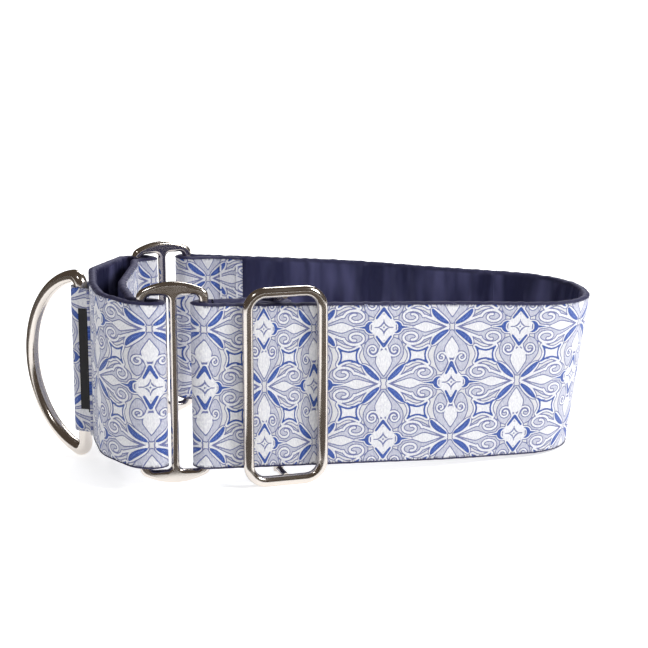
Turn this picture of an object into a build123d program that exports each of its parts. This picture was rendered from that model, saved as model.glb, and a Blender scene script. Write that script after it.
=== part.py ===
from build123d import *
import math
import os

# Martingale collar, 50 mm wide, standing on its edge as a band: a lined and patterned neck strap,
# a control loop with a leash ring, two three-bar slides that join them, and a length adjuster.
#
# Plan positions are millimetres in the table's XY plane. The strap is made of three layers:
# a satin lining that also binds both edges, a nylon webbing core, and a woven ribbon outside.

os.makedirs("parts", exist_ok=True)

# Strap
STRAP_WIDTH = 50.0
RIBBON = 0.5
WEBBING = 1.3
LINING = 0.5
STRAP = RIBBON + WEBBING + LINING
HALF = STRAP / 2
BINDING = 0.9  # lining turned over each edge
GAP = 0.3  # running room between the strap and metal
LIFT = 0.052  # rise of the strap's edge for each millimetre to the left of the right bend
RIGHT_EDGE = 82.64  # outer face of the right bend

# Slides and the wrap of fabric round their bars
SLIDE_W = 21.0
SLIDE_H = 60.5
SLIDE_LOW = 1.7  # the slides hang in the strap, clear of the floor
BAR = 2.8  # outer bars
MID_BAR = 2.4
WRAP = BAR / 2 + GAP + HALF + 0.05  # centreline of fabric round a bar
WRAP_R = WRAP - 0.05
SLACK = 3.2  # how far past its bar the loop's fold reaches

# Adjuster
ADJUSTER_W = 26.0
ADJUSTER_H = 60.3
ADJUSTER_BAR = 3.2
ADJUSTER_CORNER = 7.0

# Leash ring
RING_WIRE = 2.1
RING_REACH = 26.4  # from the straight bar's axis to the far wire's axis
RING_BOW = 28.33
RING_CORNER = 3.0
RING_Z = 29.98
RING_TURN = 137.0  # direction of the ring's plane, degrees from +X

# The middle of the whole collar's bounding box, which becomes the origin
MIDDLE = Vector(-7.05, 27.36)


def at(x, y):
    """A plan point, moved so that the collar's middle is the origin."""
    return Vector(x, y) - MIDDLE


def heading(degrees):
    """The unit vector in plan that points this many degrees from +X."""
    return Vector(math.cos(math.radians(degrees)), math.sin(math.radians(degrees)))


def right_of(way):
    """The unit vector to the right of a heading."""
    return Vector(way.Y, -way.X)


def shifted(points, distance):
    """A polyline moved to its right by a distance, with its corners kept sharp."""
    ways = [(b - a).normalized() for a, b in zip(points, points[1:])]
    sides = [right_of(w) for w in ways]
    moved = [points[0] + sides[0] * distance]
    for corner, one, two in zip(points[1:-1], sides, sides[1:]):
        moved.append(corner + (one + two) * (distance / (1 + one.dot(two))))
    moved.append(points[-1] + sides[-1] * distance)
    return moved


def radii_at(points, radii, distance):
    """The corner radii of the moved polyline, which stays concentric with the first one."""
    out = []
    for a, b, c, radius in zip(points, points[1:], points[2:], radii):
        one, two = b - a, c - b
        left_turn = one.X * two.Y - one.Y * two.X > 0
        out.append(radius + distance if left_turn else radius - distance)
    return out


def run_of(points, radii):
    """One side of a layer: straight runs joined by arcs."""
    if radii:
        return FilletPolyline(*points, radius=radii)
    return Line(*points)


def edge_plane(height):
    """The inclined plane at this height above the strap's lower edge."""
    tilt = math.atan(LIFT)
    corner = at(RIGHT_EDGE, 0)
    return Plane(
        origin=(corner.X, corner.Y, height),
        x_dir=(math.cos(tilt), 0, -math.sin(tilt)),
        z_dir=(math.sin(tilt), 0, math.cos(tilt)),
    )


def upright(points, radii, near, far, low, high):
    """A layer of the strap between two distances right of its line, cut to two slanting edges."""
    with BuildPart() as layer:
        with BuildSketch(Plane.XY.offset(-10)):
            with BuildLine():
                one = run_of(shifted(points, near), radii_at(points, radii, near))
                two = run_of(shifted(points, far), radii_at(points, radii, far))
                Line(one @ 0, two @ 0)
                Line(one @ 1, two @ 1)
            make_face()
        extrude(amount=90)
        split(bisect_by=edge_plane(low), keep=Keep.TOP)
        split(bisect_by=edge_plane(high), keep=Keep.BOTTOM)
    return layer.part


def export(name, part):
    """Labels a finished piece and writes its STEP."""
    part.label = name
    export_step(part, f"parts/{name}.step")


def strap(name, points, radii):
    """One stretch of strap as its three layers."""
    export(
        name + "_webbing",
        upright(points, radii, -HALF + LINING, HALF - RIBBON, BINDING, STRAP_WIDTH - BINDING),
    )
    export(
        name + "_ribbon",
        upright(points, radii, HALF - RIBBON, HALF, BINDING, STRAP_WIDTH - BINDING),
    )
    whole = upright(points, radii, -HALF, HALF, 0, STRAP_WIDTH)
    core = upright(points, radii, -HALF + LINING, HALF, BINDING, STRAP_WIDTH - BINDING)
    with BuildPart() as lining:
        add(whole)
        add(core, mode=Mode.SUBTRACT)
    export(name + "_lining", lining.part)


# Plan of the bars. The front slide stands nearly square to the front, the back one is turned more.
FRONT_YAW = 9.0
BACK_YAW = 28.0
BAR_STEP = (SLIDE_W - BAR) / 2
front_way = heading(FRONT_YAW)
back_way = heading(BACK_YAW)
front_loop_bar = at(-53.0, -16.0)
front_strap_bar = front_loop_bar + front_way * (2 * BAR_STEP)
back_loop_bar = at(-63.0, 57.8)
back_strap_bar = back_loop_bar + back_way * (2 * BAR_STEP)

# The front run leaves its slide's bar and passes straight through the adjuster.
RUN_TURN = 17.2
RUN_LENGTH = 101.0
run_way = heading(RUN_TURN)
run_start = front_strap_bar + right_of(run_way) * WRAP
run_end = run_start + run_way * RUN_LENGTH

front_points = [
    front_strap_bar - right_of(run_way) * WRAP + run_way * 3,
    front_strap_bar - right_of(run_way) * WRAP - run_way * WRAP,
    front_strap_bar + right_of(run_way) * WRAP - run_way * WRAP,
    run_end,
]
strap("front", front_points, [WRAP_R, WRAP_R])

# The back run ends round its slide's bar and is turned in and sewn flat against itself.
back_bend = at(10.0, 74.2)
to_bend = back_bend - back_strap_bar
back_turn = math.atan2(to_bend.Y, to_bend.X) - math.asin(WRAP / to_bend.length)
back_in = heading(math.degrees(back_turn))
back_side = right_of(back_in) * WRAP
back_start = at(58.0, 65.6)
turned_in = right_of(back_in) * (STRAP + 0.1) - back_side
back_points = [
    back_start,
    back_bend,
    back_strap_bar - back_side - back_in * WRAP,
    back_strap_bar + back_side - back_in * WRAP,
    back_strap_bar + back_side + back_in * 1.5,
    back_strap_bar + turned_in + back_in * 9.0,
    back_strap_bar + turned_in + back_in * 19.0,
]
strap("back", back_points, [90, WRAP_R, WRAP_R, 4, 6])

# The right bend joins the two runs round the neck.
back_rise = (back_start - back_bend).normalized()
bend_points = [
    run_end,
    run_end + run_way * 20.0,
    back_start + back_rise * 23.9,
    back_start + back_rise * GAP,
]
strap("bend", bend_points, [24, 22])

# The control loop is a closed band round the loop-side bars, its ribbon outwards.
front_side = right_of(front_way) * WRAP
back_loop_side = right_of(back_way) * WRAP
front_fold = front_way * (SLACK + WRAP)
back_fold = back_way * (SLACK + WRAP)
tip = at(-70.4, 8.5)
leg_corner = front_loop_bar + front_side - front_way * 2.5
leg_bow = at(-65.8, -7.6)
tip_front_way = (leg_bow - tip).normalized()
leg_turn = at(-74.2, 33)
tip_back_way = (leg_turn - tip).normalized()
tip_front_end = tip + tip_front_way * 9.5
tip_back_end = tip + tip_back_way * 18.5
inner_front = at(-57.6, -6.6)
inner_back = at(-62.3, 46.0)
wrap_front_end = front_loop_bar - front_side + front_way * 1.5
wrap_back_end = back_loop_bar + back_loop_side + back_way * 1.5

strap("loop_tip", [tip_back_end, tip, tip_front_end], [9])
strap(
    "loop_front_leg",
    [
        tip_front_end,
        leg_bow,
        leg_corner,
        front_loop_bar + front_side + front_fold,
        front_loop_bar - front_side + front_fold,
        wrap_front_end,
    ],
    [14, 5, WRAP_R, WRAP_R],
)
strap(
    "loop_inner_leg",
    [
        wrap_front_end - front_way * GAP,
        front_loop_bar - front_side - front_way * 2.6,
        inner_front,
        at(-62.2, 10.0),
        inner_back,
        back_loop_bar + back_loop_side - back_way * 2.4,
        wrap_back_end - back_way * GAP,
    ],
    [3.0, 14, 60, 30, 4],
)
strap(
    "loop_back_leg",
    [
        wrap_back_end,
        back_loop_bar + back_loop_side + back_fold,
        back_loop_bar - back_loop_side + back_fold,
        back_loop_bar - back_loop_side - back_way * 4.0,
        leg_turn,
        tip_back_end,
    ],
    [WRAP_R, WRAP_R, 6, 14],
)

# The strap's own end comes back inside the front run and is sewn round the adjuster's middle bar.
ADJUSTER_AT = 23.0  # from the slide's bar to the adjuster's middle, along the run
FRAME_OUT = HALF + GAP + ADJUSTER_BAR / 2
MIDDLE_IN = HALF + GAP + STRAP + 0.2 + ADJUSTER_BAR / 2
adjuster_middle = run_start + run_way * ADJUSTER_AT - right_of(run_way) * MIDDLE_IN
end_side = right_of(run_way) * (WRAP_R * 1.06)
end_reach = run_way * (WRAP_R + 0.2)
return_points = [
    adjuster_middle + end_side - run_way * 8.0,
    adjuster_middle + end_side + end_reach,
    adjuster_middle - end_side + end_reach,
    adjuster_middle - end_side - run_way * 2.0,
    front_points[0] + run_way * 0.2,
]
strap("return", return_points, [WRAP_R, WRAP_R, 12])

# The keeper is a strip over the ring's straight bar, sewn to the loop on both sides of it.
KEEPER = 0.8
tip_out = right_of(tip_back_way * -1)
keeper_middle = tip + tip_back_way * 9.2
ring_bar = keeper_middle + tip_out * (HALF + GAP + RING_WIRE + 0.1)
seat = keeper_middle + tip_out * (HALF + KEEPER / 2 + 0.08)
keeper_top = ring_bar + tip_out * (RING_WIRE + GAP + KEEPER / 2)


def over_ring_bar(reach):
    """The keeper's line: flat on the loop to this reach on each side, raised over the bar."""
    return [
        seat + tip_back_way * reach,
        seat + tip_back_way * 3.9,
        keeper_top + tip_back_way * 2.8,
        keeper_top - tip_back_way * 2.8,
        seat - tip_back_way * 3.9,
        seat - tip_back_way * reach,
    ]


keeper_radii = [0.9, 2.2, 2.2, 0.9]
KEEPER_REACH = 8.4
KEEPER_LOW, KEEPER_HIGH = 1.2, 46.8
export(
    "keeper",
    upright(
        over_ring_bar(KEEPER_REACH), keeper_radii, -KEEPER / 2, KEEPER / 2, KEEPER_LOW, KEEPER_HIGH
    ),
)

# A plain woven label is sewn flat on the keeper's near side.
LABEL = 0.35
LABEL_LOW, LABEL_HIGH = 8.5, 40.5
shoulder_line = over_ring_bar(8.0)[3:]
slope = (shoulder_line[1] - shoulder_line[0]).normalized()
label_points = [shoulder_line[0] + slope * 1.9, *shoulder_line[1:]]
export(
    "label",
    upright(label_points, [keeper_radii[-1]], KEEPER / 2, KEEPER / 2 + LABEL, LABEL_LOW, LABEL_HIGH),
)


# Stitching: short bars of thread standing proud of the sewn face.
THREAD = 0.35
STITCH = 2.2


def tack(name, spots, way, face_side):
    """Rows of upright stitches at plan spots on a face, each row running the strap's width."""
    with BuildPart() as rows:
        for spot in spots:
            rise = LIFT * (at(RIGHT_EDGE, 0).X - spot.X)
            for index in range(15):
                middle = spot + face_side * (THREAD / 2)
                with Locations(
                    Location((middle.X, middle.Y, rise + 4 + index * 3.0), (0, 0, way))
                ):
                    Box(THREAD * 1.6, THREAD, STITCH)
    export(name, rows.part)


fold_end = back_points[-1]
fold_way = (back_points[-1] - back_points[-2]).normalized()
tack(
    "fold_stitches",
    [fold_end - fold_way * d + right_of(fold_way) * HALF for d in (2.0, 7.5)],
    math.degrees(math.atan2(fold_way.Y, fold_way.X)),
    right_of(fold_way),
)
return_way = (return_points[3] - return_points[4]).normalized()
return_face = right_of(return_way) * -HALF
tack(
    "return_stitches",
    [return_points[3] - return_way * d + return_face for d in (4.2, 7.0)],
    math.degrees(math.atan2(return_way.Y, return_way.X)),
    right_of(return_way) * -1,
)
keeper_seat = HALF + KEEPER + 0.08
tack(
    "keeper_stitches",
    [keeper_middle + tip_back_way * 7.6 + tip_out * keeper_seat],
    math.degrees(math.atan2(tip_back_way.Y, tip_back_way.X)),
    tip_out,
)


def slide(name, loop_bar, way):
    """A cast slide: crowned ends, two outer bars and a thinner middle one, its edges rounded."""
    middle = loop_bar + way * BAR_STEP
    face = Plane(
        origin=(middle.X, middle.Y, SLIDE_LOW + SLIDE_H / 2),
        x_dir=(way.X, way.Y, 0),
        z_dir=(way.Y, -way.X, 0),
    )
    window_h = 52.6
    window_w = (SLIDE_W - 2 * BAR - MID_BAR) / 2
    shoulder = SLIDE_H / 2 - 3.0
    with BuildPart() as body:
        with BuildSketch(face.offset(-BAR / 2)):
            with BuildLine():
                ThreePointArc((-SLIDE_W / 2, shoulder), (0, SLIDE_H / 2), (SLIDE_W / 2, shoulder))
                Line((SLIDE_W / 2, shoulder), (SLIDE_W / 2, -shoulder))
                ThreePointArc((SLIDE_W / 2, -shoulder), (0, -SLIDE_H / 2), (-SLIDE_W / 2, -shoulder))
                Line((-SLIDE_W / 2, -shoulder), (-SLIDE_W / 2, shoulder))
            outline = make_face()
            fillet(outline.vertices(), 3.0)
            with Locations(*[(side * (MID_BAR + window_w) / 2, 0) for side in (-1, 1)]):
                RectangleRounded(window_w, window_h, 1.6, mode=Mode.SUBTRACT)
        extrude(amount=BAR)
        rims = body.faces().filter_by(Axis(face.origin, face.z_dir))
        fillet(rims.edges(), 1.1)
    export(name, body.part)


slide("front_slide", front_loop_bar, front_way)
slide("back_slide", back_loop_bar, back_way)

# The adjuster is bent from wire: a rounded frame in front of the strap, a middle bar behind it.
frame_middle = run_start + run_way * ADJUSTER_AT + right_of(run_way) * FRAME_OUT
frame_face = Plane(
    origin=(frame_middle.X, frame_middle.Y, ADJUSTER_H / 2),
    x_dir=(run_way.X, run_way.Y, 0),
    z_dir=(run_way.Y, -run_way.X, 0),
)
wire = ADJUSTER_BAR / 2
frame_w = ADJUSTER_W - ADJUSTER_BAR
frame_h = ADJUSTER_H - ADJUSTER_BAR
inset = ADJUSTER_CORNER - wire
step_back = FRAME_OUT + MIDDLE_IN
LUG = 1.15  # the bent-back ends that carry the middle bar
lug_z = frame_h / 2 - 0.9
with BuildSketch(frame_face) as outline:
    RectangleRounded(frame_w, frame_h, inset)
with BuildPart() as adjuster:
    frame_wire = outline.sketch.face().outer_wire()
    with BuildSketch(Plane(origin=frame_wire @ 0, z_dir=frame_wire % 0)):
        Circle(wire)
    sweep(path=frame_wire)
    for end in (-1, 1):
        with BuildSketch(frame_face.offset(-step_back)):
            with Locations((0, end * lug_z)):
                Circle(LUG)
        extrude(amount=step_back)
    with BuildSketch(Plane(origin=frame_face.offset(-step_back).origin, z_dir=(0, 0, 1))):
        Circle(wire)
    extrude(amount=lug_z + LUG / 2, both=True)
export("adjuster", adjuster.part)

# The leash ring is a bent and welded wire: a straight bar and a wide bow.
bow_middle = RING_REACH - RING_BOW
corner_z = math.sqrt((RING_BOW - RING_CORNER) ** 2 - (RING_CORNER - bow_middle) ** 2)
reach_share = RING_BOW / (RING_BOW - RING_CORNER)
bow_start = (bow_middle + (RING_CORNER - bow_middle) * reach_share, corner_z * reach_share)
ring_way = heading(RING_TURN)
ring_face = Plane(
    origin=(ring_bar.X, ring_bar.Y, RING_Z),
    x_dir=(ring_way.X, ring_way.Y, 0),
    z_dir=(ring_way.Y, -ring_way.X, 0),
)
swing = math.acos((RING_CORNER - bow_middle) / (RING_BOW - RING_CORNER))
corner_turn = (math.pi + swing) / 2
corner_half = (
    RING_CORNER + RING_CORNER * math.cos(corner_turn),
    corner_z + RING_CORNER * math.sin(corner_turn),
)
bow_half = (bow_middle + RING_BOW * math.cos(swing / 2), RING_BOW * math.sin(swing / 2))
with BuildPart() as ring:
    with BuildLine(ring_face) as half_ring:
        bar = Line((0, 0), (0, corner_z))
        ThreePointArc((0, corner_z), corner_half, bow_start)
        ThreePointArc(bow_start, bow_half, (RING_REACH, 0))
    with BuildSketch(Plane(origin=bar @ 0, z_dir=bar % 0)):
        Circle(RING_WIRE)
    sweep(path=half_ring.wires()[0])
    mirror(about=Plane.XY.offset(RING_Z))
export("leash_ring", ring.part)
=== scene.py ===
import bpy
import numpy as np
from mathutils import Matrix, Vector


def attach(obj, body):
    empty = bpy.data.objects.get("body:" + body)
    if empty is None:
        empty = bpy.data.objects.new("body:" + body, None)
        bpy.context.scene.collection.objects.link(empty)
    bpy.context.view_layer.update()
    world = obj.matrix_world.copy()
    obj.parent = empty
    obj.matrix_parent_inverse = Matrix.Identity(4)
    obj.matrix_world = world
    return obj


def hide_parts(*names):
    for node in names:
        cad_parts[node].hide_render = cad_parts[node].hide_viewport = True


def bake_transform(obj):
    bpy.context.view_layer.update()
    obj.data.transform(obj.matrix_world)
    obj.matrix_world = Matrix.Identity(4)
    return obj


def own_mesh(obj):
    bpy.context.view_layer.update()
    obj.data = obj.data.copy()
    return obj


# A wide martingale collar standing on its edge: a patterned neck strap lined with navy satin,
# a control loop with its leash ring, two cast slides and a wire length adjuster.

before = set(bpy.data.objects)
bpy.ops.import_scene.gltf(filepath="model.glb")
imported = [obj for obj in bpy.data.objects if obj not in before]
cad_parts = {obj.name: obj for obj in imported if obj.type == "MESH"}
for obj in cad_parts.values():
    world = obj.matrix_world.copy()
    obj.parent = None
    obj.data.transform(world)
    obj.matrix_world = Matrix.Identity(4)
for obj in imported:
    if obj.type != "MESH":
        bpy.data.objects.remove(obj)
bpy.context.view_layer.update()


# ---------------------------------------------------------------------------------------------
# The neck strap's run. One length of lined webbing, 50 mm wide, starts inside the front slide's
# bar, goes round the neck, and is turned in and sewn round the back slide's bar.
# Its plan is straight runs joined by arcs, softened a little, as cloth bends.

MM = 0.001
WIDE = 50.0  # the strap's width, and below its thickness and half of it, in millimetres
THICK = 2.3
HALF = THICK / 2
RISE = 0.052  # how fast the lower edge lifts off the floor, going left from the far bend
RIGHT_EDGE = 89.69
WRAP = 2.9  # from a bar's middle to the middle of the cloth round it
FOLD = 2.85  # the corner radius of that fold
BAR_GAP = 18.2  # between the two outer bars of a slide
CLOTH_STEP = 0.32


def at(x, y):
    """A plan point in millimetres, from the plan's own zero to the collar's middle."""
    return np.array([x + 7.05, y - 27.36])


def heading(degrees):
    """The unit vector in plan that points this many degrees from +X."""
    return np.array([np.cos(np.radians(degrees)), np.sin(np.radians(degrees))])


def right_of(way):
    """The unit vector to the right of a heading: x and y swapped, with y's sign turned."""
    return np.array([way[1], -way[0]])


def unit(vector):
    """The vector divided by its length."""
    return vector / np.linalg.norm(vector)


def rounded(points, radii):
    """Points about a step apart along a polyline whose corners are arcs. Each arc's centre stands
    off the corner along the bisector, and its ends lie radius times tan(half turn) from it."""
    pieces, start = [], points[0]
    for a, b, c, radius in zip(points, points[1:], points[2:], radii):
        one, two = unit(b - a), unit(c - b)
        turn = np.arctan2(one[0] * two[1] - one[1] * two[0], one @ two)
        back = radius * np.tan(abs(turn) / 2)
        enter = b - one * back
        side = -right_of(one) * np.sign(turn)
        count = max(3, int(np.ceil(radius * abs(turn) / CLOTH_STEP)) + 1)
        angles = np.linspace(0, abs(turn), count)[:, None]
        arc = enter + side * radius * (1 - np.cos(angles)) + one * radius * np.sin(angles)
        pieces += [spaced(start, enter)[:-1], arc[:-1]]
        start = arc[-1]
    pieces.append(spaced(start, points[-1]))
    return np.concatenate(pieces)


def spaced(a, b):
    """Even points from a to b, about one step apart."""
    count = max(2, int(np.ceil(np.linalg.norm(b - a) / CLOTH_STEP)) + 1)
    return a + (b - a) * np.linspace(0, 1, count)[:, None]


def softened(path, spread):
    """The path with each point replaced by a bell-weighted mean of its neighbours; the path is
    carried on past its ends by point reflection, so that the ends stay where they are."""
    reach = int(spread * 3)
    before = 2 * path[0] - path[reach:0:-1]
    after = 2 * path[-1] - path[-2 : -reach - 2 : -1]
    longer = np.concatenate([before, path, after])
    weight = np.exp(-0.5 * (np.arange(-reach, reach + 1) / spread) ** 2)
    weight /= weight.sum()
    return np.stack([np.convolve(longer[:, k], weight, "valid") for k in (0, 1)], 1)


def stretches(spread, *parts):
    """Several paths, each beginning where the last one ends, softened as one and cut again.
    Returns for each its points and the distance along the whole at each point."""
    joined = np.concatenate([parts[0]] + [p[1:] for p in parts[1:]])
    joined = softened(joined, spread)
    along = np.concatenate([[0], np.cumsum(np.linalg.norm(np.diff(joined, axis=0), axis=1))])
    ends = np.cumsum([len(parts[0]) - 1] + [len(p) - 1 for p in parts[1:]])
    starts = np.concatenate([[0], ends[:-1]])
    whole_way = np.gradient(joined, along, axis=0)
    whole_way /= np.linalg.norm(whole_way, axis=1)[:, None]
    return [(joined[a : b + 1], along[a : b + 1], whole_way[a : b + 1]) for a, b in zip(starts, ends)]


front_way, back_way, run_way = heading(9.0), heading(28.0), heading(17.2)
front_loop_bar, back_loop_bar = at(-53.0, -16.0), at(-63.0, 57.8)
front_strap_bar = front_loop_bar + front_way * BAR_GAP
back_strap_bar = back_loop_bar + back_way * BAR_GAP

run_side = right_of(run_way) * WRAP
run_start = front_strap_bar + run_side
run_end = run_start + run_way * 101.0
front_line = rounded(
    [
        front_strap_bar - run_side + run_way * 3,
        front_strap_bar - run_side - run_way * WRAP,
        front_strap_bar + run_side - run_way * WRAP,
        run_end,
    ],
    [FOLD, FOLD],
)

back_bend, back_start = at(10.0, 74.2), at(58.0, 65.6)
to_bend = back_bend - back_strap_bar
back_in = heading(
    np.degrees(np.arctan2(to_bend[1], to_bend[0]) - np.arcsin(WRAP / np.linalg.norm(to_bend)))
)
back_side = right_of(back_in) * WRAP
turned_in = right_of(back_in) * (THICK + 0.1) - back_side
back_line = rounded(
    [
        back_start,
        back_bend,
        back_strap_bar - back_side - back_in * WRAP,
        back_strap_bar + back_side - back_in * WRAP,
        back_strap_bar + back_side + back_in * 1.5,
        back_strap_bar + turned_in + back_in * 9.0,
        back_strap_bar + turned_in + back_in * 19.0,
    ],
    [90, FOLD, FOLD, 4, 6],
)
rise_way = unit(back_start - back_bend)
bend_line = rounded(
    [run_end, run_end + run_way * 20.0, back_start + rise_way * 23.9, back_start], [24, 22]
)
SOFT = 4.0  # in steps along the cloth
front_run, bend_run, back_run = stretches(SOFT, front_line, bend_line, back_line)


# ---------------------------------------------------------------------------------------------
# The strap's three layers, cut from the roll: ribbon outside, webbing inside it, satin lining
# turned over both edges. Each is a closed band: a closed section, in distance outwards and
# height, carried along the strap's line in plan.


def wave(along, lengths, seed):
    """A gentle irregular wave, between about -1 and 1: the mean of sines of the given lengths,
    each with its own seeded phase."""
    phases = np.random.default_rng(seed).uniform(0, 2 * np.pi, len(lengths))
    return sum(np.sin(2 * np.pi * along / n + p) for n, p in zip(lengths, phases)) / len(lengths)


def lean(points):
    """How far the strap leans out at the far bend for each millimetre above its middle: a smooth
    step in x that is full at the bend."""
    share = np.clip((points[..., 0] - 38) / 50, 0, 1)
    return 0.125 * share * share * (3 - 2 * share)


def closed_band(name, line, section, ripple=None, figure=None):
    """A closed solid swept along a line. Each point is the line's point, plus the outward normal
    times the section's distance, at the section's height above the slanting lower edge.
    ripple(along, distance, height) adds to distance and height. Its UV is the distance along the
    line and the height, both in metres."""
    path, along, way = line
    out = np.stack([way[:, 1], -way[:, 0]], 1)
    far, high = section[:, 0][None, :], section[:, 1][None, :]
    far = np.repeat(far, len(path), 0)
    high = np.repeat(high, len(path), 0)
    run = np.repeat(along[:, None], far.shape[1], 1)
    flat = high.copy()
    if ripple is not None:
        more_far, more_high = ripple(run, far, high)
        far, high = far + more_far, high + more_high
    tilt = lean(path)[:, None] * (high - WIDE / 2)
    plan = path[:, None, :] + out[:, None, :] * (far + tilt)[..., None]
    height = high + RISE * (RIGHT_EDGE - plan[..., 0])
    spots = np.concatenate([plan, height[..., None]], 2) * MM
    n, m = far.shape
    i, j = np.meshgrid(np.arange(n - 1), np.arange(m), indexing="ij")
    k = (j + 1) % m
    quads = np.stack([i * m + j, (i + 1) * m + j, (i + 1) * m + k, i * m + k], -1).reshape(-1, 4)
    points = spots.reshape(-1, 3)
    a, b, c, d = (points[quads[:, q]] for q in range(4))
    size = (np.cross(a, b) * c).sum() + (np.cross(a, c) * d).sum()
    caps = [np.arange(m), np.arange((n - 1) * m, n * m)[::-1]]
    if size < 0:
        quads = quads[:, ::-1]
    else:
        caps = [cap[::-1] for cap in caps]
    mesh = bpy.data.meshes.new(name)
    mesh.from_pydata(points.tolist(), [], quads.tolist() + [cap.tolist() for cap in caps])
    corner = np.zeros(len(mesh.loops), np.int32)
    mesh.loops.foreach_get("vertex_index", corner)
    uv = np.stack([run.ravel(), flat.ravel()], 1)[corner] * MM
    mesh.uv_layers.new(name="cloth").data.foreach_set("uv", uv.astype(np.float32).ravel())
    if figure is not None:
        layers = sampled(figure(run.ravel()), flat.ravel())
        for layer, values in zip(("figure", "figure_more"), layers):
            store = mesh.attributes.new(layer, "FLOAT_COLOR", "POINT")
            store.data.foreach_set("color", values.astype(np.float32).ravel())
    smooth = np.ones(len(mesh.polygons), bool)
    smooth[-2:] = False
    mesh.polygons.foreach_set("use_smooth", smooth)
    piece = bpy.data.objects.new(name, mesh)
    bpy.context.scene.collection.objects.link(piece)
    return piece


def ribbon_section():
    """The ribbon: its outer face in many rows, slightly crowned towards its edges, and its back."""
    high = np.linspace(0.55, WIDE - 0.55, 153)
    crown = 0.25 * np.clip(np.minimum(high, WIDE - high) / 1.6, 0, 1) ** 0.5 - 0.25
    face = np.stack([HALF + 0.06 + crown, high], 1)
    back = np.stack([np.full(9, HALF - 0.42), np.linspace(WIDE - 0.7, 0.7, 9)], 1)
    return np.concatenate([face, back])


def lining_section():
    """The lining: its inner face in many rows, rolled over both edges to a short lip outside,
    and back along its own inside."""
    rows = np.linspace(WIDE - 0.9, 0.9, 41)
    turn = np.linspace(0, np.pi, 9)[1:-1]
    inner = np.stack([np.full(41, -HALF), rows], 1)
    low_roll = np.stack([-HALF * np.cos(turn), 0.9 - 0.9 * np.sin(turn)], 1)
    high_roll = np.stack([HALF * np.cos(turn), WIDE - 0.9 + 0.9 * np.sin(turn)], 1)
    low_lip = np.array([[HALF + 0.12, 0.45], [HALF + 0.14, 0.78], [HALF - 0.25, 0.85]])
    low_in = np.array([[HALF - 0.4, 0.6], [-HALF + 0.4, 0.6]])
    high_in = np.array([[-HALF + 0.4, WIDE - 0.6], [HALF - 0.4, WIDE - 0.6]])
    high_lip = low_lip[::-1] * [1, -1] + [0, WIDE]
    return np.concatenate([inner, low_roll, low_lip, low_in, high_in, high_lip, high_roll])


def core_section():
    """The webbing core: a flat bar of cloth with rounded edges, between ribbon and lining."""
    high = np.linspace(0.9, WIDE - 0.9, 13)
    face = np.stack([np.full(13, 0.55), high], 1)
    back = np.stack([np.full(13, -0.55), high[::-1]], 1)
    return np.concatenate([face, back])


def puckers(run, far, high):
    """Ribbon drawn in by its seams: small ripples that die away from the edges, over a very
    slight unevenness everywhere."""
    near = np.exp(-np.minimum(high, WIDE - high) / 1.8)
    top = high > WIDE / 2
    seam = np.where(top, wave(run, (3.1, 4.7, 7.3), 4), wave(run, (3.4, 5.1, 6.7), 9))
    broad = wave(run + 0.3 * high, (17, 29, 41), 5) * 0.10
    outside = far > 0.9
    return np.where(outside, 0.16 * near * seam + broad, 0.0), 0.10 * near * seam


def wrinkles(run, far, high):
    """Satin that is longer than the strap it lines: soft upright folds on the inner face, which
    start at the seams, and a roll over each edge that swells and narrows between stitches."""
    inner = np.where(far < -HALF + 0.05, 1.0, 0.0)
    middle = np.sin(np.pi * np.clip(high / WIDE, 0, 1)) ** 0.5
    slant = run + 2.2 * np.sin(high / 9.0)
    folds = wave(slant, (6.3, 9.7, 14.9, 23.0), 21)
    short = wave(run, (2.9, 3.7, 5.3), 33) * np.exp(-np.minimum(high, WIDE - high) / 4.0)
    raised = -1.5 * np.clip(folds + 0.1, 0, 1) ** 1.3 * middle - 0.3 * np.clip(short, 0, 1)
    edge = np.exp(-np.minimum(high, WIDE - high) / 1.2)
    top = high > WIDE / 2
    swell = np.where(top, wave(run, (3.3, 4.9, 8.3), 41), wave(run, (3.7, 5.3, 7.9), 42))
    return inner * raised, 0.14 * edge * swell * np.where(top, 1.0, 0.4)


# ---------------------------------------------------------------------------------------------
# The woven ribbon. A jacquard in off-white, royal blue and grey-blue: four-petalled flowers and
# star medallions stand in turn on a lattice, with scrolled leaves between them. Each shape is a
# signed distance over one quarter of the repeat, in millimetres; a material reads them.


class Num:
    """A number socket in a material. Python's operators on it add Math nodes."""

    def __init__(self, paint, socket):
        self.paint, self.socket = paint, socket

    def do(self, operation, *others, clamp=False):
        """A Math node on this number and the others."""
        return self.paint.math(operation, self, *others, clamp=clamp)

    def __add__(self, other):
        return self.do("ADD", other)

    def __sub__(self, other):
        return self.do("SUBTRACT", other)

    def __mul__(self, other):
        return self.do("MULTIPLY", other)

    __radd__, __rmul__ = __add__, __mul__

    def __rsub__(self, other):
        return self.paint.math("SUBTRACT", other, self)

    def __abs__(self):
        return self.do("ABSOLUTE")


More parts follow.
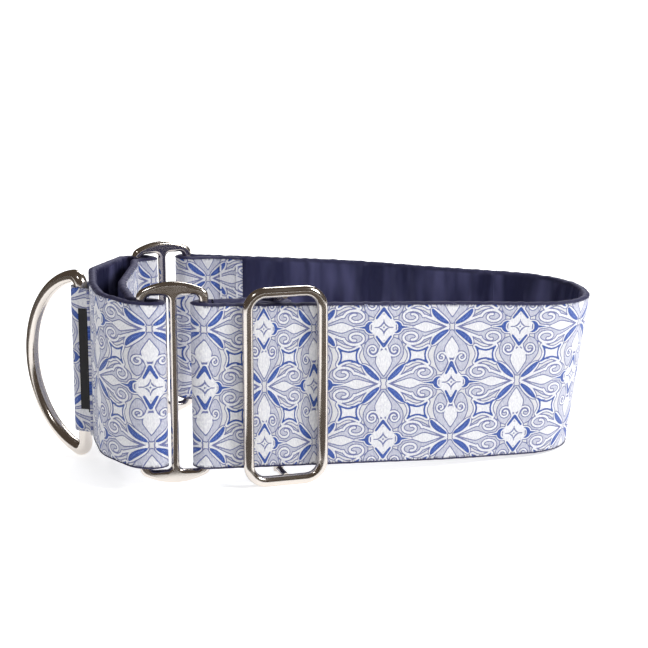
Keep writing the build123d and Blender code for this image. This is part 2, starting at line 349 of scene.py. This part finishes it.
class Paint:
    """A material being written: its Principled shader, and one method that adds a node."""

    def __init__(self, name, **constants):
        self.material = bpy.data.materials.new(name)
        self.material.use_nodes = True
        self.tree = self.material.node_tree
        self.tree.nodes.clear()
        self.shader = self.tree.nodes.new("ShaderNodeBsdfPrincipled")
        output = self.tree.nodes.new("ShaderNodeOutputMaterial")
        self.tree.links.new(self.shader.outputs[0], output.inputs[0])
        for key, value in constants.items():
            self.shader.inputs[key.replace("_", " ")].default_value = value

    def node(self, kind, settings=None, **inputs):
        """Adds a node: settings are its own properties, inputs its sockets by name."""
        made = self.tree.nodes.new("ShaderNode" + kind)
        for key, value in (settings or {}).items():
            setattr(made, key, value)
        for key, value in inputs.items():
            self.put(made.inputs[int(key[1:]) if key[0] == "i" and key[1:].isdigit() else key], value)
        return made

    def put(self, socket, value):
        """Links a socket, or sets its value."""
        if isinstance(value, Num):
            self.tree.links.new(value.socket, socket)
        elif isinstance(value, bpy.types.NodeSocket):
            self.tree.links.new(value, socket)
        else:
            socket.default_value = value

    def math(self, operation, *values, clamp=False):
        """A Math node on any numbers and sockets."""
        made = self.node("Math", {"operation": operation, "use_clamp": clamp})
        for socket, value in zip(made.inputs, values):
            self.put(socket, value)
        return Num(self, made.outputs[0])

    def split(self, vector):
        """The three numbers of a vector."""
        parts = self.node("SeparateXYZ", Vector=vector)
        return [Num(self, s) for s in parts.outputs]

    def mix(self, share, one, two):
        """A colour between two colours."""
        made = self.node("Mix", {"data_type": "RGBA"})
        self.put(made.inputs[0], share)
        self.put(made.inputs[6], one)
        self.put(made.inputs[7], two)
        return made.outputs[2]

    def noise(self, vector, scale, detail=2.0, rough=0.5):
        """A cloudy number between 0 and 1; scale is in clouds per metre."""
        made = self.node("TexNoise", Vector=vector, Scale=scale, Detail=detail, Roughness=rough)
        return Num(self, made.outputs["Fac"])

    def bump(self, height, strength, distance):
        """Small relief, where a height of 1 stands a distance in metres high."""
        made = self.node("Bump", Height=height, Strength=strength, Distance=distance)
        self.put(self.shader.inputs["Normal"], made.outputs[0])

    def set(self, name, value):
        """Links or sets one of the Principled shader's sockets."""
        self.put(self.shader.inputs[name], value)


CELL_U, CELL_V = 22.0, 17.4  # half the repeat along the ribbon, and half of it across
FINE = 0.1  # between samples of the ornament
FLOWER_U, FLOWER_V = 32.2, 42.4  # a flower's place on the ribbon


def bowed(*points, each=24):
    """A smooth line through some points: between each pair a cubic whose tangents are half the
    chord of the neighbouring points."""
    p = np.array(points, float)
    p = np.concatenate([[2 * p[0] - p[1]], p, [2 * p[-1] - p[-2]]])
    t = np.linspace(0, 1, each)[:, None]
    parts = []
    for a, b, c, d in zip(p, p[1:], p[2:], p[3:]):
        square, cube = 2 * a - 5 * b + 4 * c - d, 3 * b - a - 3 * c + d
        parts.append(b + (c - a) * t / 2 + square * t**2 / 2 + cube * t**3 / 2)
    return np.concatenate(parts)


def curl(centre, start, end, turns_from, turns_to, stretch=1.0, count=60):
    """A spiral round a centre: its radius goes evenly from start to end as it turns."""
    t = np.linspace(0, 1, count)
    angle = 2 * np.pi * (turns_from + (turns_to - turns_from) * t)
    radius = start + (end - start) * t
    across, up = stretch * radius * np.cos(angle), radius * np.sin(angle)
    return np.stack([centre[0] + across, centre[1] + up], 1)


def grid():
    """The quarter cell's sample points."""
    s = np.arange(0, CELL_U + FINE, FINE)
    t = np.arange(0, CELL_V + FINE, FINE)
    return np.stack(np.meshgrid(s, t, indexing="ij"), -1)


CELL = grid()


def off_line(path, widths=None):
    """Distance from every sample point to a line, less the line's half width, which may change
    from point to point along it."""
    best = np.full(CELL.shape[:2], 99.0)
    widths = np.zeros(len(path)) if widths is None else np.broadcast_to(widths, len(path))
    for a, b, wa, wb in zip(path, path[1:], widths, widths[1:]):
        d = b - a
        share = np.clip(((CELL - a) @ d) / max(d @ d, 1e-9), 0, 1)
        gap = np.hypot(*np.moveaxis(CELL - a - share[..., None] * d, -1, 0))
        best = np.minimum(best, gap - wa - (wb - wa) * share)
    return best


def area(path):
    """Signed distance to a closed outline, negative inside: the sign is by counting crossings."""
    closed = np.concatenate([path, path[:1]])
    inside = np.zeros(CELL.shape[:2], bool)
    for a, b in zip(closed, closed[1:]):
        crosses = (a[1] > CELL[..., 1]) != (b[1] > CELL[..., 1])
        rise = b[1] - a[1] if b[1] != a[1] else 1e-9
        inside ^= crosses & (CELL[..., 0] < (b[0] - a[0]) * (CELL[..., 1] - a[1]) / rise + a[0])
    return off_line(closed) * np.where(inside, -1, 1)


def tapered(count, most, power=0.6):
    """Half widths that swell from nothing to the most and back along a line."""
    t = np.linspace(0, 1, count)
    return most * (4 * t * (1 - t)) ** power


def flip(path, about_u=None, about_v=None):
    """A path mirrored in u or v."""
    out = path.copy()
    if about_u is not None:
        out[:, 0] = 2 * about_u - out[:, 0]
    if about_v is not None:
        out[:, 1] = 2 * about_v - out[:, 1]
    return out


def union(*parts):
    """The distance to several shapes taken together: the least of theirs."""
    return np.minimum.reduce(parts)


def far(path):
    """A path of the second flower, whose centre is the cell's far corner."""
    return np.array([CELL_U, CELL_V]) - path


def mirrored(path, about_u=None, about_v=None):
    """Signed distance to the outline made by a path and its mirror image."""
    return area(np.concatenate([path, flip(path, about_u, about_v)[::-1]]))


def crescent(centre, tail):
    """The two horns of a star: on each side a disc with a bite out of it, and a spike that
    narrows evenly to its tail."""
    p = np.abs(CELL[..., 0] - centre[0])
    q = np.abs(CELL[..., 1] - centre[1])
    disc = np.hypot((p - 4.0) / 1.05, q) - 1.85
    bite = 1.65 - np.hypot(p - 3.05, q)
    spike = np.maximum(q - (tail - p) * 0.55 / (tail - 4.6), 4.6 - p)
    return union(np.maximum(disc, bite), np.maximum(spike, p - tail))


def star_eye(centre):
    """A star's inner lines: a dot, two short bars across, and the outline of a four-pointed
    star, whose points lie where the sum of both offsets to the power 0.65 is one."""
    p = np.abs(CELL[..., 0] - centre[0])
    q = np.abs(CELL[..., 1] - centre[1])
    dot = np.hypot(p, q) - 0.30
    ring = np.maximum(np.hypot(p / 1.25, q) - 2.5, 1.7 - np.hypot(p, q))
    bars = np.maximum(np.minimum(p, q) - 0.16, ring)
    outline = np.abs((p / 2.0) ** 0.65 + (q / 2.0) ** 0.65 - 1.0) * 1.3 - 0.20
    return union(dot, bars, outline)


def ornament():
    """Signed distances over one quarter of the pattern's cell: solid blue, pale shapes that lie over
    the fills, shaded fills, fine lines, and a painted highlight, a thin lighter line along the middle
    of each blue petal."""
    u, v = CELL_U, CELL_V

    # First flower, at the near corner: petal, heart round a bud, and a volute on the heart
    petal = bowed((1.1, 1.0), (3.5, 2.4), (5.3, 3.9), (6.5, 5.5))
    petal_one = off_line(petal, tapered(len(petal), 0.86, 0.5))
    around_one = off_line(petal, tapered(len(petal), 1.6, 0.45))
    heart = bowed(
        (0.35, 1.0), (2.3, 3.0), (4.6, 5.6), (5.7, 8.6), (5.3, 11.4), (4.1, 13.6), (2.9, 13.9),
        (1.9, 12.6), (1.2, 11.0),
    )
    bud = bowed((0, 2.9), (1.2, 4.6), (2.35, 6.7), (1.9, 8.4), (0.6, 9.9))
    neck = bowed((0.3, 12.6), (0.75, 11.0), (1.5, 9.1), (2.6, 8.1))
    volute = np.concatenate([neck, curl((3.3, 9.5), 1.5, 0.55, -0.30, 0.75)])

    # Second flower, at the far corner: petal with a tail, spoon, crook, and the leaf round them
    petal2 = far(bowed((1.3, 1.1), (3.3, 2.7), (4.9, 4.2), (6.6, 5.9)))
    petal_two = off_line(petal2, tapered(len(petal2), 0.84, 0.5))
    around_two = off_line(petal2, tapered(len(petal2), 1.55, 0.45))
    tail = far(bowed((6.3, 5.6), (8.6, 6.7), (11.2, 6.6)))
    tail_two = off_line(tail, np.linspace(0.25, 0.05, len(tail)))
    spoon = far(bowed((0.0, 2.2), (1.4, 4.2), (2.7, 6.9), (1.9, 9.3), (0.35, 10.8)))
    stalk = bowed((0.5, 13.0), (0.9, 11.6), (1.7, 9.3))
    crook = far(np.concatenate([stalk, curl((3.5, 10.5), 2.05, 0.6, -0.42, 0.85)]))
    wrap = far(bowed(
        (0.6, 1.7), (2.6, 4.2), (4.9, 6.6), (6.3, 9.0), (6.2, 11.6), (4.9, 13.6), (3.0, 14.4),
        (1.2, 14.9),
    ))

    # Leaves along the ribbon, and the scrolls that flank them
    leaf = bowed((2.6, 0.0), (5.2, 0.75), (8.6, 1.6), (11.0, 0.9), (13.0, 0.12))
    stem = np.array([[13.0, 0.0], [13.7, 0.0]])
    reach = bowed((1.2, 0.25), (5.2, 2.0), (8.8, 3.4))
    scroll = np.concatenate([reach, curl((13.0, 3.15), 2.35, 0.75, 0.49, -0.75, 1.55)])
    rim = bowed(
        (1.6, 0.9), (5.6, 2.7), (9.2, 4.9), (13.0, 5.75), (16.4, 4.4), (17.2, 2.6), (16.0, 0.9),
        (14.2, 0.55),
    )

    # Four-pointed square at the cell's middle
    side = bowed((-3.3, -2.5), (-1.7, -1.7), (0, -1.35), (1.7, -1.7), (3.3, -2.5))
    flank = bowed((3.3, -2.5), (2.65, -1.3), (2.4, 0), (2.65, 1.3), (3.3, 2.5))
    square = area(np.concatenate([side, flank, -side, -flank]) + np.array([u / 2, v / 2]))

    # Stars, at the two other corners, each with chevrons and horns
    near_star, top_star = np.array([u, 0]), np.array([0, v])
    chevron = off_line(near_star + np.array([[0.0, 5.7], [-2.3, 2.8]]), [0.48, 0.32])
    chevron2 = off_line(top_star - np.array([[0.0, 6.1], [-1.7, 2.8]]), [0.56, 0.34])
    horns = union(crescent(near_star, 8.8), crescent(top_star, 9.6))
    discs = [np.hypot(*np.moveaxis(CELL - star, -1, 0)) - 4.0 for star in (near_star, top_star)]

    outline = np.abs(square + 0.05) - 0.27
    blue = union(petal_one, petal_two, tail_two, chevron, chevron2, horns, outline)
    pale = union(
        around_one, around_two, square - 0.95,
        mirrored(bud, about_u=0), mirrored(spoon, about_u=u),
        mirrored(leaf, about_v=0), mirrored(far(leaf), about_v=v),
        off_line(volute, 0.42), off_line(crook, 0.42),
        off_line(scroll, 0.5), off_line(far(scroll), 0.5),
        chevron - 0.55, chevron2 - 0.5, horns - 0.5, *discs,
    )
    fills = union(
        mirrored(heart, about_u=0), mirrored(wrap, about_u=u),
        mirrored(rim, about_v=0), mirrored(far(rim), about_v=v),
    )
    fine = union(off_line(stem) - 0.05, star_eye(near_star), star_eye(top_star))
    # Painted highlight: a thin line along the middle of each blue petal, lighter in the colour
    petal_highlight = union(
        off_line(bowed((2.2, 1.65), (4.2, 2.8), (5.4, 4.3)), 0.12),
        off_line(far(bowed((2.4, 1.8), (4.2, 3.2), (5.8, 4.8))), 0.12),
    )
    return blue, pale, fills, fine, petal_highlight


FIGURE = ornament()


def sampled(along, high):
    """The ornament's five distances at each point, as two sets of four: the point is folded into
    the quarter cell, and the four nearest samples are mixed."""
    s = np.abs(np.mod(along - FLOWER_U + CELL_U, 2 * CELL_U) - CELL_U) / FINE
    t = np.abs(np.mod(high - FLOWER_V + CELL_V, 2 * CELL_V) - CELL_V) / FINE
    i = np.clip(s.astype(int), 0, CELL.shape[0] - 2)
    j = np.clip(t.astype(int), 0, CELL.shape[1] - 2)
    a, b = s - i, t - j
    five = [
        f[i, j] * (1 - a) * (1 - b) + f[i + 1, j] * a * (1 - b)
        + f[i, j + 1] * (1 - a) * b + f[i + 1, j + 1] * a * b
        for f in FIGURE
    ]
    blank = np.zeros(len(a))
    return np.stack(five[:4], 1), np.stack([five[4], blank, blank, blank], 1)


def ribbon_finish():
    """Woven ribbon: the ornament in coloured weft over an off-white ground. The ground is a fine
    rib, the blue floats lie slantwise and stand a little proud, and every thread varies. Along
    both edges the seam draws the ribbon into beads with dark gaps."""
    paint = Paint("woven_ribbon", Roughness=0.6, Sheen_Weight=0.2, Sheen_Roughness=0.4)
    cloth = paint.node("UVMap", {"uv_map": "cloth"}).outputs[0]
    u, v, _ = paint.split(cloth)
    u, v = u * 1000.0, v * 1000.0
    shapes = paint.node("Attribute", {"attribute_name": "figure"})
    parts = paint.node("SeparateColor", Color=shapes.outputs["Color"])
    blue, pale, fills = [Num(paint, p) for p in parts.outputs]
    fine = Num(paint, shapes.outputs["Alpha"])
    more = paint.node("Attribute", {"attribute_name": "figure_more"})
    petal_highlight = Num(paint, paint.node("SeparateColor", Color=more.outputs["Color"]).outputs[0])
    jitter = (paint.noise(cloth, 2400.0, 1.0) - 0.5) * 0.16

    def within(distance, blur=0.10):
        """1 inside a shape, 0 outside, with an edge that the threads make uneven."""
        return (distance + jitter).do("MULTIPLY_ADD", -1.0 / blur, 0.5, clamp=True)

    edge = abs(pale).do("MINIMUM", abs(fills.do("MAXIMUM", pale * -1.0)))
    lines = within(edge.do("MINIMUM", fine + 0.13) - 0.14)
    def threads(across, apart):
        """Rounded threads this far apart in millimetres, from 0 between them to 1 on top."""
        return ((across * (2 * np.pi / apart)).do("SINE") + 1.0) * 0.5

    slant, ribs, warp = threads(u + v, 0.55), threads(v, 0.40), threads(u, 0.45)
    slanted = paint.node("Mapping", Vector=cloth, Rotation=(0, 0, 0.7), Scale=(1.0, 0.45, 1.0))
    grain = slanted.outputs[0]
    speck = (paint.noise(grain, 2300.0, 2.0, 0.7) - 0.5).do("MULTIPLY_ADD", 2.2, 0.5, clamp=True)
    broad = paint.noise(cloth, 60.0, 2.0)
    ground = paint.mix(broad, (0.68, 0.675, 0.68, 1), (0.76, 0.75, 0.745, 1))
    ground = paint.mix(speck * 0.45, ground, (0.42, 0.435, 0.53, 1))
    shade = paint.mix(speck, (0.62, 0.625, 0.70, 1), (0.33, 0.35, 0.49, 1))
    colour = paint.mix(within(fills) * 0.85, ground, shade)
    light = paint.mix(speck, (0.86, 0.86, 0.86, 1), (0.62, 0.62, 0.68, 1))
    colour = paint.mix(within(pale), colour, light)
    colour = paint.mix(lines * 0.9, colour, (0.095, 0.12, 0.33, 1))
    deep = paint.mix(slant, (0.010, 0.042, 0.27, 1), (0.034, 0.11, 0.47, 1))
    deep = paint.mix((speck - 0.6).do("MULTIPLY", 1.6, clamp=True), deep, (0.22, 0.34, 0.72, 1))
    # Painted highlight along the middle of each blue petal
    deep = paint.mix(within(petal_highlight) * 0.5, deep, (0.20, 0.34, 0.85, 1))
    solid = within(blue)
    colour = paint.mix(solid, colour, deep)
    beads = paint.node("TexNoise", {"noise_dimensions": "2D"}, Scale=1.0, Detail=1.0)
    spread = paint.node("CombineXYZ", i0=u * 1.5, i1=v * 0.4)
    paint.put(beads.inputs["Vector"], spread.outputs[0])
    gap = (Num(paint, beads.outputs["Fac"]) - 0.52).do("MULTIPLY", 9.0, clamp=True)
    rim = (abs(v - WIDE / 2) - (WIDE / 2 - 1.5)).do("MULTIPLY", 2.0, clamp=True)
    colour = paint.mix(rim * gap * 0.7, colour, (0.05, 0.06, 0.16, 1))
    paint.set("Base Color", colour)
    paint.set("Roughness", 0.66 - solid * 0.18 + speck * 0.1)
    height = ribs * warp * 0.4 + slant * solid * 0.5 + solid * 0.6 - lines * 0.5 + speck * 0.3
    paint.bump(height - rim * gap, 1.0, 0.0003)
    return paint.material


woven = ribbon_finish()


# ---------------------------------------------------------------------------------------------
# Navy satin for the lining: long shining floats across the strap, rolled over its edges.


def satin_finish():
    """Satin: a dark navy with painted highlights, lighter upright streaks laid into its colour by
    noise, and rolled edges painted darker in blotches as shade; fine threads run up the strap and break
    a soft gloss."""
    paint = Paint("navy_satin", Sheen_Weight=0.05, Sheen_Roughness=0.3)
    paint.shader.inputs["Sheen Tint"].default_value = (0.5, 0.5, 0.9, 1)
    paint.shader.inputs["Specular Tint"].default_value = (0.6, 0.6, 1.0, 1)
    paint.shader.inputs["Specular IOR Level"].default_value = 0.7
    cloth = paint.node("UVMap", {"uv_map": "cloth"}).outputs[0]
    u, v, _ = paint.split(cloth)
    stretched = paint.node("Mapping", Vector=cloth, Scale=(3.0, 0.35, 1.0)).outputs[0]
    threads = paint.noise(stretched, 900.0, 2.0, 0.6)
    upright = paint.node("Mapping", Vector=cloth, Scale=(1.0, 0.22, 1.0)).outputs[0]
    # Painted highlights: lighter upright streaks in the colour, placed by noise rather than by the
    # folds
    painted_highlight_streaks = (paint.noise(upright, 120.0, 2.0) - 0.46).do("MULTIPLY", 4.0, clamp=True)
    colour = paint.mix(painted_highlight_streaks, (0.013, 0.014, 0.038, 1), (0.115, 0.115, 0.23, 1))
    colour = paint.mix(threads * 0.3, colour, (0.050, 0.050, 0.13, 1))
    # Painted shade: the rolled edges darkened in the colour, in noisy dark blotches for the shade of
    # their puckers
    rim = (abs(v * 1000.0 - WIDE / 2) - (WIDE / 2 - 1.6)).do("MULTIPLY", 1.2, clamp=True)
    edge_shade_blotches = paint.noise(cloth, 700.0, 2.0)
    painted_edge_shade = paint.mix(edge_shade_blotches, (0.006, 0.006, 0.020, 1), (0.034, 0.034, 0.085, 1))
    colour = paint.mix(rim, colour, painted_edge_shade)
    paint.set("Base Color", colour)
    paint.set("Roughness", threads * 0.16 + 0.30 + rim * 0.25)
    weft = (u * (2 * np.pi * 1000 / 0.3)).do("SINE")
    paint.bump(threads * 0.8 + weft * 0.15, 0.35, 0.0001)
    return paint.material


satin = satin_finish()


# ---------------------------------------------------------------------------------------------
# Nylon webbing, the core of the strap, seen only at its cut ends.


def webbing_finish():
    """Webbing: a dark plain weave of coarse nylon yarns."""
    paint = Paint("webbing", Roughness=0.8)
    cloth = paint.node("UVMap", {"uv_map": "cloth"}).outputs[0]
    u, v, _ = paint.split(cloth)
    over = (u * (2 * np.pi * 1000 / 1.6)).do("SINE") * (v * (2 * np.pi * 1000 / 1.1)).do("SINE")
    colour = paint.mix(over * 0.5 + 0.5, (0.02, 0.02, 0.05, 1), (0.05, 0.05, 0.10, 1))
    paint.set("Base Color", colour)
    paint.bump(over, 0.5, 0.0003)
    return paint.material


webbing = webbing_finish()


def lay_strap(name, run, body, figure=None):
    """The three layers of one stretch, each standing for its CAD solid, and riding on a body when one
    is given.
    """
    layers = []
    for kind, section, ripple, finish, slot in (
        ("ribbon", ribbon_section(), puckers, woven, "ribbon"),
        ("lining", lining_section(), wrinkles, satin, "satin"),
        ("webbing", core_section(), None, webbing, "webbing"),
    ):
        piece = closed_band(
            f"{name}_{kind}_cloth", run, section, ripple, figure if kind == "ribbon" else None
        )
        piece.data.materials.append(finish)
        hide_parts(f"{name}_{kind}")
        if body:
            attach(piece, body)
        layers.append(piece)
    return layers


CLOSE = 0.024  # how far the front half travels towards the back when the loop is drawn

front_zero = front_run[1][np.argmin(np.linalg.norm(front_run[0] - run_start, axis=1))]
at_bar = np.argmin(np.linalg.norm(back_run[0] - back_strap_bar, axis=1))
back_turned = back_run[1][at_bar]


def front_figure(along):
    """The ribbon's own length against the strap's: it is gathered where the layers are sewn
    between the slide and the adjuster."""
    u = along - front_zero
    return np.where(u < -0.5, u - 11.3, np.interp(u, (-0.5, 17, 32.2, 500), (-11.8, 10.2, 32.2, 500)))


def back_figure(along):
    """The strap's length carried round the bend; the end sewn in is a separate cut of ribbon."""
    return np.where(along > back_turned, along - back_turned + 18.5, along - front_zero)


lay_strap("back", back_run, "strap_back", back_figure)
lay_strap("front", front_run, "strap_front", front_figure)
bend_depth = (back_start - run_end)[1] * MM
for piece in lay_strap("bend", bend_run, "strap_front", lambda along: along - front_zero):
    run_end[0] * MM
    run_end[1] * MM
    1 - CLOSE / bend_depth
    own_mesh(piece)


# ---------------------------------------------------------------------------------------------
# The control loop. A closed band of the same lined strap, ribbon outwards, round the loop-side
# bars of both slides; its tip carries the leash ring.

LOOP_SLACK = 3.2  # how far the loop's folds reach past the bars, beyond the cloth's own turn
front_side, back_loop_side = right_of(front_way) * WRAP, right_of(back_way) * WRAP
front_fold, back_fold = front_way * (LOOP_SLACK + WRAP), back_way * (LOOP_SLACK + WRAP)
tip = at(-70.4, 8.5)
leg_corner = front_loop_bar + front_side - front_way * 2.5
leg_bow, leg_turn = at(-65.8, -7.6), at(-74.2, 33)
tip_front_way, tip_back_way = unit(leg_bow - tip), unit(leg_turn - tip)
tip_front_end, tip_back_end = tip + tip_front_way * 9.5, tip + tip_back_way * 18.5
wrap_front_end = front_loop_bar - front_side + front_way * 1.5
wrap_back_end = back_loop_bar + back_loop_side + back_way * 1.5
loop_parts = stretches(
    SOFT,
    rounded([tip_back_end, tip, tip_front_end], [9]),
    rounded(
        [
            tip_front_end,
            leg_bow,
            leg_corner,
            front_loop_bar + front_side + front_fold,
            front_loop_bar - front_side + front_fold,
            wrap_front_end,
        ],
        [14, 5, FOLD, FOLD],
    ),
    rounded(
        [
            wrap_front_end,
            front_loop_bar - front_side - front_way * 2.6,
            at(-57.6, -6.6),
            at(-62.2, 10.0),
            at(-62.3, 46.0),
            back_loop_bar + back_loop_side - back_way * 2.4,
            wrap_back_end,
        ],
        [3.0, 14, 60, 30, 4],
    ),
    rounded(
        [
            wrap_back_end,
            back_loop_bar + back_loop_side + back_fold,
            back_loop_bar - back_loop_side + back_fold,
            back_loop_bar - back_loop_side - back_way * 4.0,
            leg_turn,
            tip_back_end,
        ],
        [FOLD, FOLD, 6, 14],
    ),
)
tip_run, front_leg_run, inner_leg_run, back_leg_run = loop_parts
loop_flower = leg_corner + front_way * 4.5
to_flower = np.linalg.norm(front_leg_run[0][:120] - loop_flower, axis=1)
loop_zero = front_leg_run[1][np.argmin(to_flower)] + 11.8


def loop_figure(along):
    """The loop's ribbon, placed so that a flower stands beside the front slide."""
    return along - loop_zero


def point3(plan, height=0.03):
    """A plan point in millimetres as a point in space."""
    return (float(plan[0]) * MM, float(plan[1]) * MM, height)


lay_strap("loop_tip", tip_run, "control_loop", loop_figure)
for piece in lay_strap("loop_front_leg", front_leg_run, None, loop_figure):
    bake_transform(piece)
for piece in lay_strap("loop_back_leg", back_leg_run, None, loop_figure):
    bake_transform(piece)
leg_depth = (wrap_back_end - wrap_front_end)[1] * MM
for piece in lay_strap("loop_inner_leg", inner_leg_run, "strap_front", loop_figure):
    1 - CLOSE / leg_depth
    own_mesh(piece)


# ---------------------------------------------------------------------------------------------
# The keeper: a strip of the ribbon doubled, sewn to the loop on both sides of the ring's straight
# bar. A blank woven label is sewn over it.

KEEPER = 0.8
tip_out = right_of(-tip_back_way)
keeper_middle = tip + tip_back_way * 9.2
ring_bar = keeper_middle + tip_out * (HALF + 0.3 + 2.1 + 0.1)
seat = keeper_middle + tip_out * (HALF + KEEPER / 2 + 0.08)
keeper_top = ring_bar + tip_out * (2.1 + 0.3 + KEEPER / 2)


def hat(reach):
    """The line of a strip: flat on the loop to its reach on each side, raised over the bar."""
    corners = [
        seat + tip_back_way * reach,
        seat + tip_back_way * 3.9,
        keeper_top + tip_back_way * 2.8,
        keeper_top - tip_back_way * 2.8,
        seat - tip_back_way * 3.9,
        seat - tip_back_way * reach,
    ]
    return stretches(1.5, rounded(corners, [0.9, 2.2, 2.2, 0.9]))[0]


def flat_section(near, far, low, high, rows):
    """A strip's section: an upright bar between two distances and two heights."""
    levels = np.linspace(low, high, rows)
    face = np.stack([np.full(rows, far), levels], 1)
    back = np.stack([np.full(rows, near), levels[::-1]], 1)
    return np.concatenate([face, back])


keeper = closed_band(
    "keeper_strip", hat(8.4), flat_section(-KEEPER / 2, KEEPER / 2, 1.2, 46.8, 140),
    figure=lambda along: along + 23.0,
)
keeper.data.materials.append(woven)
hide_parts("keeper")
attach(keeper, "control_loop")


def label_finish():
    """Woven label: matt black taffeta with a faint rib."""
    paint = Paint("label_black", Roughness=0.7, Base_Color=(0.012, 0.012, 0.014, 1))
    _, v, _ = paint.split(paint.node("UVMap", {"uv_map": "cloth"}).outputs[0])
    paint.bump((v * (2 * np.pi * 1000 / 0.35)).do("SINE"), 0.4, 0.0001)
    return paint.material


near_side = [
    keeper_top - tip_back_way * 2.8,
    seat - tip_back_way * 3.9,
    seat - tip_back_way * 8.0,
]
near_side[0] = near_side[0] + unit(near_side[1] - near_side[0]) * 1.9
label = closed_band(
    "label_strip", stretches(1.5, rounded(near_side, [0.9]))[0],
    flat_section(KEEPER / 2, KEEPER / 2 + 0.35, 8.5, 40.5, 60),
)
label.data.materials.append(label_finish())
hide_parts("label")
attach(label, "control_loop")


# ---------------------------------------------------------------------------------------------
# The return layer: the strap's own end runs back inside the front and is sewn round the
# adjuster's middle bar.

MIDDLE_IN = HALF + 0.3 + THICK + 0.2 + 1.6
adjuster_middle = run_start + run_way * 23.0 - right_of(run_way) * MIDDLE_IN
end_side, end_reach = right_of(run_way) * 3.021, run_way * 3.05
(return_run,) = stretches(
    SOFT,
    rounded(
        [
            adjuster_middle + end_side - run_way * 8.0,
            adjuster_middle + end_side + end_reach,
            adjuster_middle - end_side + end_reach,
            adjuster_middle - end_side - run_way * 2.0,
            front_strap_bar - run_side + run_way * 3.2,
        ],
        [FOLD, FOLD, 12],
    ),
)
for piece in lay_strap("return", return_run, None, front_figure):
    point3(front_strap_bar + run_way * 6)
    point3(adjuster_middle - run_way * 3)
    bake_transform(piece)


# ---------------------------------------------------------------------------------------------
# The metal fittings: nickel-plated steel. The slides are cast, the adjuster and the ring are bent wire,
# all polished, with the fine scuffs of handling.


def nickel_finish():
    """Nickel: warm grey metal, roughened unevenly by fine scuffs."""
    paint = Paint("nickel", Metallic=1.0, Roughness=0.16)
    spot = paint.node("TexCoord").outputs["Object"]
    cloud = paint.noise(spot, 120.0, 3.0)
    scuff = paint.noise(spot, 1500.0, 3.0, 0.7)
    paint.set("Base Color", paint.mix(cloud, (0.62, 0.57, 0.52, 1), (0.70, 0.655, 0.61, 1)))
    paint.set("Roughness", cloud * 0.10 + scuff * 0.08 + 0.08)
    paint.bump(scuff, 0.08, 0.00005)
    return paint.material


nickel = nickel_finish()
for node in ("front_slide", "back_slide", "adjuster", "leash_ring"):
    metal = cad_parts[node]
    metal.data.materials.clear()
    metal.data.materials.append(nickel)


# ---------------------------------------------------------------------------------------------
# Thread: white polyester, in short stitches.

thread = Paint("thread", Roughness=0.5, Base_Color=(0.75, 0.75, 0.78, 1)).material
for node in ("fold_stitches", "return_stitches", "keeper_stitches"):
    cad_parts[node].data.materials.clear()
    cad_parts[node].data.materials.append(thread)


# ---------------------------------------------------------------------------------------------
# Light, floor and camera: a pale table in a white studio, with a large soft lamp at the right.



def backdrop(name, corners, colour, glow):
    """A flat sheet of matt paper that also glows evenly."""
    mesh = bpy.data.meshes.new(name)
    mesh.from_pydata(corners, [], [(0, 1, 2, 3)])
    sheet = bpy.data.objects.new(name, mesh)
    bpy.context.scene.collection.objects.link(sheet)
    paper = Paint(name + "_paper", Roughness=0.9, Base_Color=colour)
    paper.shader.inputs["Emission Color"].default_value = (1, 1, 1, 1)
    paper.shader.inputs["Emission Strength"].default_value = glow
    mesh.materials.append(paper.material)
    return sheet


def lying(left, near, right, back, height):
    """The corners of a level rectangle."""
    return [(left, near, height), (right, near, height), (right, back, height), (left, back, height)]


backdrop("floor", lying(-6, -6, 6, 6, 0), (0.85, 0.85, 0.85, 1), 0.64)
wall = backdrop("wall", [(-6, 3, -0.1), (6, 3, -0.1), (6, 3, 4), (-6, 3, 4)], (0.9, 0.9, 0.9, 1), 1.0)
wall.visible_shadow = wall.visible_glossy = False

# Dark cards lying in front and to the left, which only reflections show
card = backdrop("card", lying(-0.064, -0.7, 0.6, -0.056, 0.0004), (0.10, 0.08, 0.065, 1), 0.0)
card_left = backdrop("card_left", lying(-4, -0.05, -0.15, 3, 0.0004), (0.12, 0.10, 0.085, 1), 0.0)
for sheet in (card, card_left):
    sheet.visible_camera = sheet.visible_diffuse = sheet.visible_shadow = False

# White all round as light, but a dim warm room in reflections
world = bpy.data.worlds.new("studio")
bpy.context.scene.world = world
world.use_nodes = True
sky = world.node_tree
room = sky.nodes["Background"]
path = sky.nodes.new("ShaderNodeLightPath")
shade = sky.nodes.new("ShaderNodeMix")
shade.data_type = "RGBA"
shade.inputs[6].default_value = (0.30, 0.30, 0.305, 1)
shade.inputs[7].default_value = (0.095, 0.075, 0.06, 1)
sky.links.new(path.outputs["Is Glossy Ray"], shade.inputs[0])
sky.links.new(shade.outputs[2], room.inputs[0])


def soft_light(name, place, size, power):
    """A square soft light at a place, turned to the collar's middle."""
    lamp = bpy.data.lights.new(name, "AREA")
    lamp.size, lamp.energy = size, power
    holder = bpy.data.objects.new(name, lamp)
    holder.location = place
    away = Vector(place) - Vector((0, 0, 0.03))
    holder.rotation_euler = away.to_track_quat("Z", "Y").to_euler()
    bpy.context.scene.collection.objects.link(holder)


soft_light("key", (0.75, -0.26, 0.62), 0.32, 8.2)
soft_light("fill", (-0.30, -0.55, 0.80), 0.12, 0.7)
soft_light("back", (0.15, 0.75, 0.65), 0.4, 3.4)

view = bpy.data.cameras.new("camera")
view.lens, view.sensor_width = 85.0, 36.0
eye = bpy.data.objects.new("camera", view)
eye.location = (0.00705, -0.47736, 0.141)
eye.rotation_euler = (np.radians(90 - 11.85), 0, 0)
bpy.context.scene.collection.objects.link(eye)
bpy.context.scene.camera = eye
bpy.context.scene.view_settings.view_transform = "Standard"
